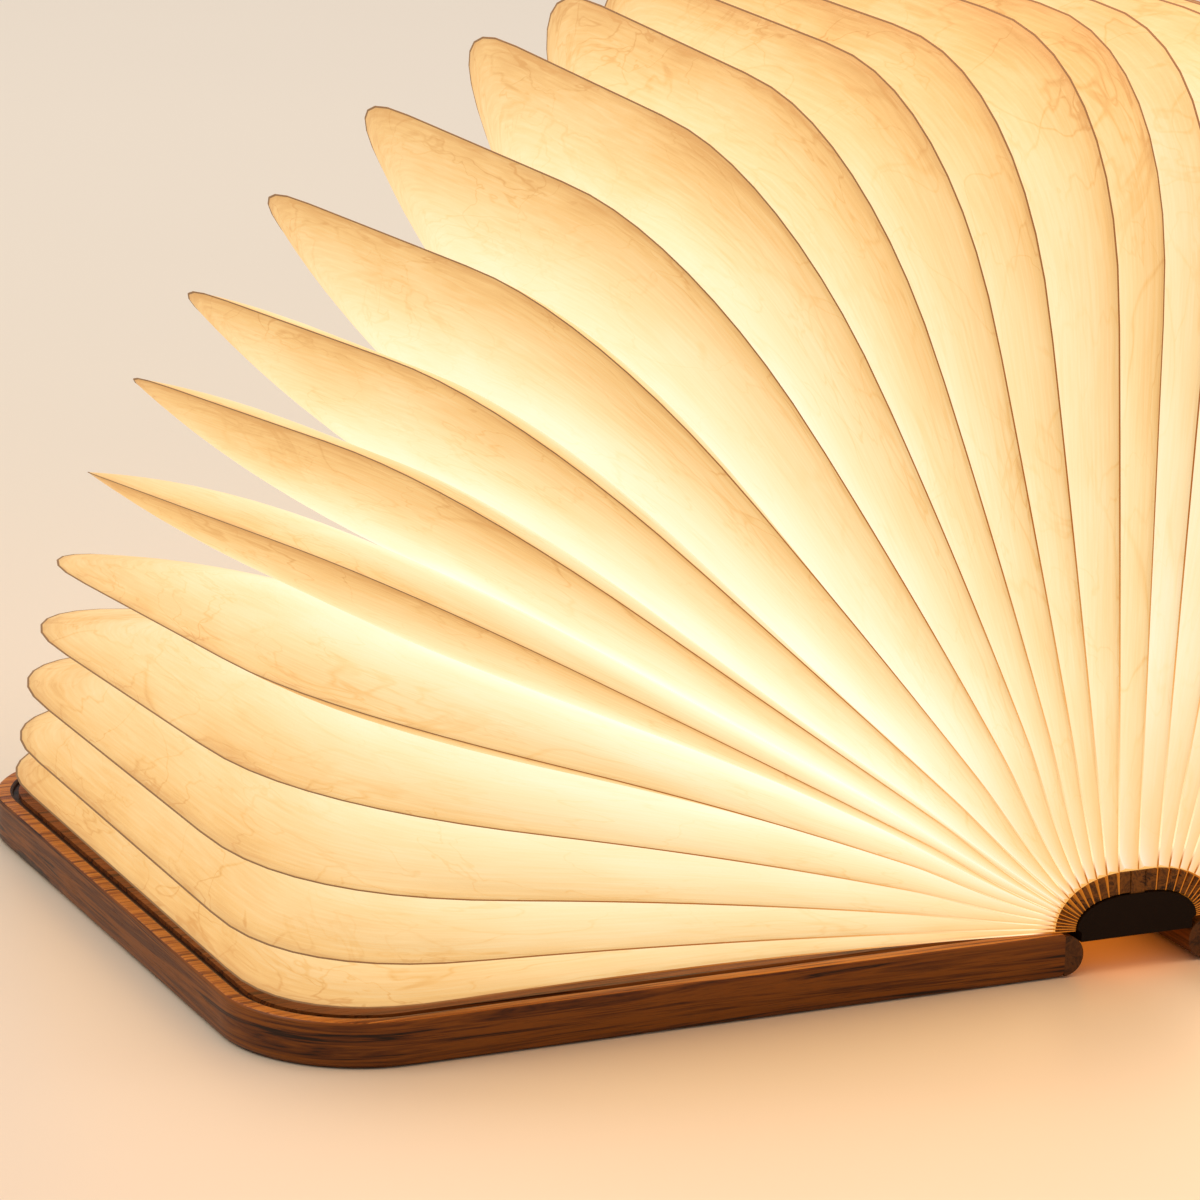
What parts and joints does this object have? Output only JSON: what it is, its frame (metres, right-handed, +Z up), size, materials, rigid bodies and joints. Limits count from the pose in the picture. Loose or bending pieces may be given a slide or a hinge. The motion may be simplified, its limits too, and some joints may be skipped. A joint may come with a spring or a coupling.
{
  "type": "folding book lamp",
  "caption": "Book-shaped table lamp: two wooden covers hinged to a lit spine open a fan of pleated paper leaves.",
  "frame": {"origin": "centre of the footprint of the open lamp, on the surface that the covers lie on", "axes": "+X across the open book to the right-hand cover, +Y along the spine to the end with the charging socket, +Z up"},
  "size_m": [0.4212, 0.2126, 0.213],
  "materials": {
    "cover_walnut": "satin oiled dark walnut",
    "end_board": "satin thin board",
    "hinge_strip": "satin brown strip",
    "paper": "matte translucent fibre paper",
    "pleat_paper": "matte translucent fibre paper, lit from inside",
    "case_dark": "matte dark brown",
    "slat": "satin brown slat",
    "strip_white": "matte white flexible strip",
    "chip": "glossy warm phosphor",
    "foil": "satin foil pouch",
    "board_green": "glossy solder mask",
    "steel": "satin steel",
    "sensor_black": "matte black"
  },
  "bodies": {
    "core": {"spine_case": "case_dark", "spine_lid": "case_dark", "front_end_cap": "case_dark", "rear_end_cap": "case_dark", "centre_slat": "slat", "led_strip": "strip_white", "led_chips": "chip", "battery": "foil", "control_board": "board_green", "charge_socket": "steel", "opening_sensor": "sensor_black", "lid_screws": "steel", "centre_pleat": "pleat_paper"},
    "left_board": {"left_cover": "cover_walnut", "left_end_board": "end_board", "left_hinge_strip": "hinge_strip", "left_pleats": "pleat_paper"},
    "left_leaf_15_body": {"left_leaf_15": "paper"},
    "left_leaf_14_body": {"left_leaf_14": "paper"},
    "left_leaf_13_body": {"left_leaf_13": "paper"},
    "left_leaf_12_body": {"left_leaf_12": "paper"},
    "left_leaf_11_body": {"left_leaf_11": "paper"},
    "left_leaf_10_body": {"left_leaf_10": "paper"},
    "left_leaf_09_body": {"left_leaf_09": "paper"},
    "left_leaf_08_body": {"left_leaf_08": "paper"},
    "left_leaf_07_body": {"left_leaf_07": "paper"},
    "left_leaf_06_body": {"left_leaf_06": "paper"},
    "left_leaf_05_body": {"left_leaf_05": "paper"},
    "left_leaf_04_body": {"left_leaf_04": "paper"},
    "left_leaf_03_body": {"left_leaf_03": "paper"},
    "left_leaf_02_body": {"left_leaf_02": "paper"},
    "left_leaf_01_body": {"left_leaf_01": "paper"},
    "right_board": {"right_cover": "cover_walnut", "right_end_board": "end_board", "right_hinge_strip": "hinge_strip", "right_pleats": "pleat_paper", "switch_magnet": "steel"},
    "right_leaf_15_body": {"right_leaf_15": "paper"},
    "right_leaf_14_body": {"right_leaf_14": "paper"},
    "right_leaf_13_body": {"right_leaf_13": "paper"},
    "right_leaf_12_body": {"right_leaf_12": "paper"},
    "right_leaf_11_body": {"right_leaf_11": "paper"},
    "right_leaf_10_body": {"right_leaf_10": "paper"},
    "right_leaf_09_body": {"right_leaf_09": "paper"},
    "right_leaf_08_body": {"right_leaf_08": "paper"},
    "right_leaf_07_body": {"right_leaf_07": "paper"},
    "right_leaf_06_body": {"right_leaf_06": "paper"},
    "right_leaf_05_body": {"right_leaf_05": "paper"},
    "right_leaf_04_body": {"right_leaf_04": "paper"},
    "right_leaf_03_body": {"right_leaf_03": "paper"},
    "right_leaf_02_body": {"right_leaf_02": "paper"},
    "right_leaf_01_body": {"right_leaf_01": "paper"}
  },
  "joints": [
    {"name": "left_fold", "type": "hinge", "parent": "core", "child": "left_board", "pos_m": [-0.01379, 0, 0.01631], "axis": [0, 1, 0], "range_deg": [0, 90], "deforming": ["left_pleats", "centre_pleat"]},
    {"name": "left_leaf_15_fold", "type": "hinge", "parent": "core", "child": "left_leaf_15_body", "pos_m": [-0.0018, 0, 0.0183], "axis": [0, 1, 0], "range_deg": [0, 2.71]},
    {"name": "left_leaf_14_fold", "type": "hinge", "parent": "left_leaf_15_body", "child": "left_leaf_14_body", "pos_m": [-0.0049, 0, 0.01816], "axis": [0, 1, 0], "range_deg": [0, 5.51]},
    {"name": "left_leaf_13_fold", "type": "hinge", "parent": "left_leaf_14_body", "child": "left_leaf_13_body", "pos_m": [-0.00746, 0, 0.01779], "axis": [0, 1, 0], "range_deg": [0, 5.83]},
    {"name": "left_leaf_12_fold", "type": "hinge", "parent": "left_leaf_13_body", "child": "left_leaf_12_body", "pos_m": [-0.00954, 0, 0.01727], "axis": [0, 1, 0], "range_deg": [0, 6.29]},
    {"name": "left_leaf_11_fold", "type": "hinge", "parent": "left_leaf_12_body", "child": "left_leaf_11_body", "pos_m": [-0.01119, 0, 0.01665], "axis": [0, 1, 0], "range_deg": [0, 6.81]},
    {"name": "left_leaf_10_fold", "type": "hinge", "parent": "left_leaf_11_body", "child": "left_leaf_10_body", "pos_m": [-0.01248, 0, 0.01599], "axis": [0, 1, 0], "range_deg": [0, 7.27]},
    {"name": "left_leaf_09_fold", "type": "hinge", "parent": "left_leaf_10_body", "child": "left_leaf_09_body", "pos_m": [-0.01347, 0, 0.01532], "axis": [0, 1, 0], "range_deg": [0, 7.59]},
    {"name": "left_leaf_08_fold", "type": "hinge", "parent": "left_leaf_09_body", "child": "left_leaf_08_body", "pos_m": [-0.01419, 0, 0.01467], "axis": [0, 1, 0], "range_deg": [0, 7.67]},
    {"name": "left_leaf_07_fold", "type": "hinge", "parent": "left_leaf_08_body", "child": "left_leaf_07_body", "pos_m": [-0.01472, 0, 0.01405], "axis": [0, 1, 0], "range_deg": [0, 7.47]},
    {"name": "left_leaf_06_fold", "type": "hinge", "parent": "left_leaf_07_body", "child": "left_leaf_06_body", "pos_m": [-0.01509, 0, 0.01348], "axis": [0, 1, 0], "range_deg": [0, 7]},
    {"name": "left_leaf_05_fold", "type": "hinge", "parent": "left_leaf_06_body", "child": "left_leaf_05_body", "pos_m": [-0.01534, 0, 0.01295], "axis": [0, 1, 0], "range_deg": [0, 6.3]},
    {"name": "left_leaf_04_fold", "type": "hinge", "parent": "left_leaf_05_body", "child": "left_leaf_04_body", "pos_m": [-0.01552, 0, 0.01247], "axis": [0, 1, 0], "range_deg": [0, 5.45]},
    {"name": "left_leaf_03_fold", "type": "hinge", "parent": "left_leaf_04_body", "child": "left_leaf_03_body", "pos_m": [-0.01564, 0, 0.01201], "axis": [0, 1, 0], "range_deg": [0, 4.56]},
    {"name": "left_leaf_02_fold", "type": "hinge", "parent": "left_leaf_03_body", "child": "left_leaf_02_body", "pos_m": [-0.01571, 0, 0.01156], "axis": [0, 1, 0], "range_deg": [0, 3.75]},
    {"name": "left_leaf_01_fold", "type": "hinge", "parent": "left_leaf_02_body", "child": "left_leaf_01_body", "pos_m": [-0.01576, 0, 0.01113], "axis": [0, 1, 0], "range_deg": [0, 3.14]},
    {"name": "right_fold", "type": "hinge", "parent": "core", "child": "right_board", "pos_m": [0.01379, 0, 0.01631], "axis": [0, -1, 0], "range_deg": [0, 90], "deforming": ["right_pleats"]},
    {"name": "right_leaf_15_fold", "type": "hinge", "parent": "core", "child": "right_leaf_15_body", "pos_m": [0.0018, 0, 0.0183], "axis": [0, -1, 0], "range_deg": [0, 2.71]},
    {"name": "right_leaf_14_fold", "type": "hinge", "parent": "right_leaf_15_body", "child": "right_leaf_14_body", "pos_m": [0.0049, 0, 0.01816], "axis": [0, -1, 0], "range_deg": [0, 5.51]},
    {"name": "right_leaf_13_fold", "type": "hinge", "parent": "right_leaf_14_body", "child": "right_leaf_13_body", "pos_m": [0.00746, 0, 0.01779], "axis": [0, -1, 0], "range_deg": [0, 5.83]},
    {"name": "right_leaf_12_fold", "type": "hinge", "parent": "right_leaf_13_body", "child": "right_leaf_12_body", "pos_m": [0.00954, 0, 0.01727], "axis": [0, -1, 0], "range_deg": [0, 6.29]},
    {"name": "right_leaf_11_fold", "type": "hinge", "parent": "right_leaf_12_body", "child": "right_leaf_11_body", "pos_m": [0.01119, 0, 0.01665], "axis": [0, -1, 0], "range_deg": [0, 6.81]},
    {"name": "right_leaf_10_fold", "type": "hinge", "parent": "right_leaf_11_body", "child": "right_leaf_10_body", "pos_m": [0.01248, 0, 0.01599], "axis": [0, -1, 0], "range_deg": [0, 7.27]},
    {"name": "right_leaf_09_fold", "type": "hinge", "parent": "right_leaf_10_body", "child": "right_leaf_09_body", "pos_m": [0.01347, 0, 0.01532], "axis": [0, -1, 0], "range_deg": [0, 7.59]},
    {"name": "right_leaf_08_fold", "type": "hinge", "parent": "right_leaf_09_body", "child": "right_leaf_08_body", "pos_m": [0.01419, 0, 0.01467], "axis": [0, -1, 0], "range_deg": [0, 7.67]},
    {"name": "right_leaf_07_fold", "type": "hinge", "parent": "right_leaf_08_body", "child": "right_leaf_07_body", "pos_m": [0.01472, 0, 0.01405], "axis": [0, -1, 0], "range_deg": [0, 7.47]},
    {"name": "right_leaf_06_fold", "type": "hinge", "parent": "right_leaf_07_body", "child": "right_leaf_06_body", "pos_m": [0.01509, 0, 0.01348], "axis": [0, -1, 0], "range_deg": [0, 7]},
    {"name": "right_leaf_05_fold", "type": "hinge", "parent": "right_leaf_06_body", "child": "right_leaf_05_body", "pos_m": [0.01534, 0, 0.01295], "axis": [0, -1, 0], "range_deg": [0, 6.3]},
    {"name": "right_leaf_04_fold", "type": "hinge", "parent": "right_leaf_05_body", "child": "right_leaf_04_body", "pos_m": [0.01552, 0, 0.01247], "axis": [0, -1, 0], "range_deg": [0, 5.45]},
    {"name": "right_leaf_03_fold", "type": "hinge", "parent": "right_leaf_04_body", "child": "right_leaf_03_body", "pos_m": [0.01564, 0, 0.01201], "axis": [0, -1, 0], "range_deg": [0, 4.56]},
    {"name": "right_leaf_02_fold", "type": "hinge", "parent": "right_leaf_03_body", "child": "right_leaf_02_body", "pos_m": [0.01571, 0, 0.01156], "axis": [0, -1, 0], "range_deg": [0, 3.75]},
    {"name": "right_leaf_01_fold", "type": "hinge", "parent": "right_leaf_02_body", "child": "right_leaf_01_body", "pos_m": [0.01576, 0, 0.01113], "axis": [0, -1, 0], "range_deg": [0, 3.14]}
  ],
  "couplings": [
    {"joint": "left_leaf_15_fold", "follows": "left_fold", "ratio": 0.029947},
    {"joint": "left_leaf_14_fold", "follows": "left_fold", "ratio": 0.061154},
    {"joint": "left_leaf_13_fold", "follows": "left_fold", "ratio": 0.064693},
    {"joint": "left_leaf_12_fold", "follows": "left_fold", "ratio": 0.06983},
    {"joint": "left_leaf_11_fold", "follows": "left_fold", "ratio": 0.075558},
    {"joint": "left_leaf_10_fold", "follows": "left_fold", "ratio": 0.080717},
    {"joint": "left_leaf_09_fold", "follows": "left_fold", "ratio": 0.084186},
    {"joint": "left_leaf_08_fold", "follows": "left_fold", "ratio": 0.085082},
    {"joint": "left_leaf_07_fold", "follows": "left_fold", "ratio": 0.082912},
    {"joint": "left_leaf_06_fold", "follows": "left_fold", "ratio": 0.077672},
    {"joint": "left_leaf_05_fold", "follows": "left_fold", "ratio": 0.069855},
    {"joint": "left_leaf_04_fold", "follows": "left_fold", "ratio": 0.060393},
    {"joint": "left_leaf_03_fold", "follows": "left_fold", "ratio": 0.050515},
    {"joint": "left_leaf_02_fold", "follows": "left_fold", "ratio": 0.041564},
    {"joint": "left_leaf_01_fold", "follows": "left_fold", "ratio": 0.034786},
    {"joint": "right_leaf_15_fold", "follows": "right_fold", "ratio": 0.029947},
    {"joint": "right_leaf_14_fold", "follows": "right_fold", "ratio": 0.061154},
    {"joint": "right_leaf_13_fold", "follows": "right_fold", "ratio": 0.064693},
    {"joint": "right_leaf_12_fold", "follows": "right_fold", "ratio": 0.06983},
    {"joint": "right_leaf_11_fold", "follows": "right_fold", "ratio": 0.075558},
    {"joint": "right_leaf_10_fold", "follows": "right_fold", "ratio": 0.080717},
    {"joint": "right_leaf_09_fold", "follows": "right_fold", "ratio": 0.084186},
    {"joint": "right_leaf_08_fold", "follows": "right_fold", "ratio": 0.085082},
    {"joint": "right_leaf_07_fold", "follows": "right_fold", "ratio": 0.082912},
    {"joint": "right_leaf_06_fold", "follows": "right_fold", "ratio": 0.077672},
    {"joint": "right_leaf_05_fold", "follows": "right_fold", "ratio": 0.069855},
    {"joint": "right_leaf_04_fold", "follows": "right_fold", "ratio": 0.060393},
    {"joint": "right_leaf_03_fold", "follows": "right_fold", "ratio": 0.050515},
    {"joint": "right_leaf_02_fold", "follows": "right_fold", "ratio": 0.041564},
    {"joint": "right_leaf_01_fold", "follows": "right_fold", "ratio": 0.034786}
  ]
}
